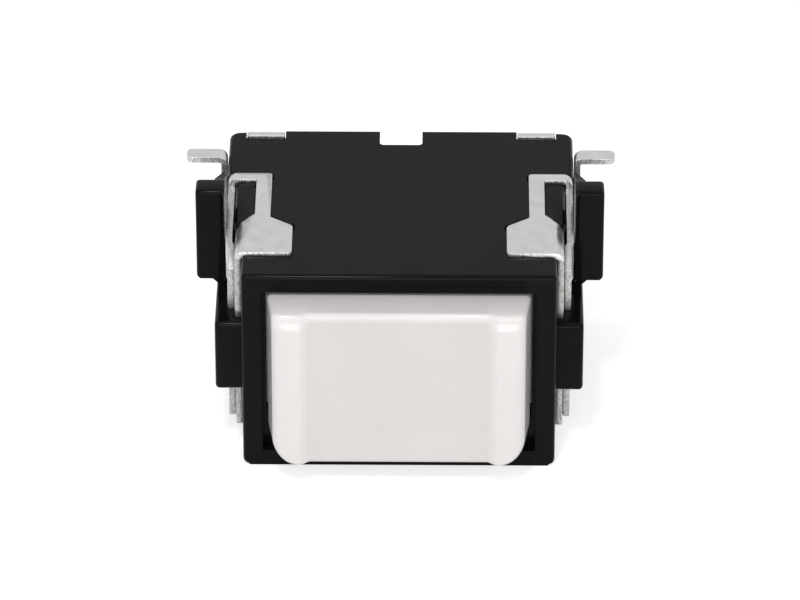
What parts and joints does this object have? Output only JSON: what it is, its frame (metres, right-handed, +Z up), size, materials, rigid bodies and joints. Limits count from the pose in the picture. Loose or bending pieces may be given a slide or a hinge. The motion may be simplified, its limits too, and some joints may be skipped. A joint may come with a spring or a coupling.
{
  "type": "pushbutton switch",
  "caption": "Right-angle surface-mount pushbutton switch with a wide sprung white button, black moulded body and tin-plated side clips.",
  "frame": {"origin": "centre of the moulded body's flat underside", "axes": "+X to the right seen from the button side, +Y from the button to the rear, +Z up towards the soldering faces"},
  "size_m": [0.0098, 0.0073, 0.0057],
  "materials": {
    "black_moulding": "fine matt moulded black",
    "white_moulding": "smooth warm white",
    "tinned_sheet": "bright tin plating on brass, with sheared edges",
    "spring_steel": "bright rolled strip"
  },
  "bodies": {
    "switch_body": {"housing": "black_moulding", "rear_base": "black_moulding", "snap_dome": "spring_steel", "left_terminal": "tinned_sheet", "right_terminal": "tinned_sheet", "left_side_clip": "tinned_sheet", "right_side_clip": "tinned_sheet"},
    "button": {"button": "white_moulding"}
  },
  "joints": [
    {"name": "button_press", "type": "slide", "parent": "switch_body", "child": "button", "axis": [0, 1, 0], "range_m": [0, 0.00025], "stiffness_N_per_m": 6000, "deforming": ["snap_dome"]}
  ]
}
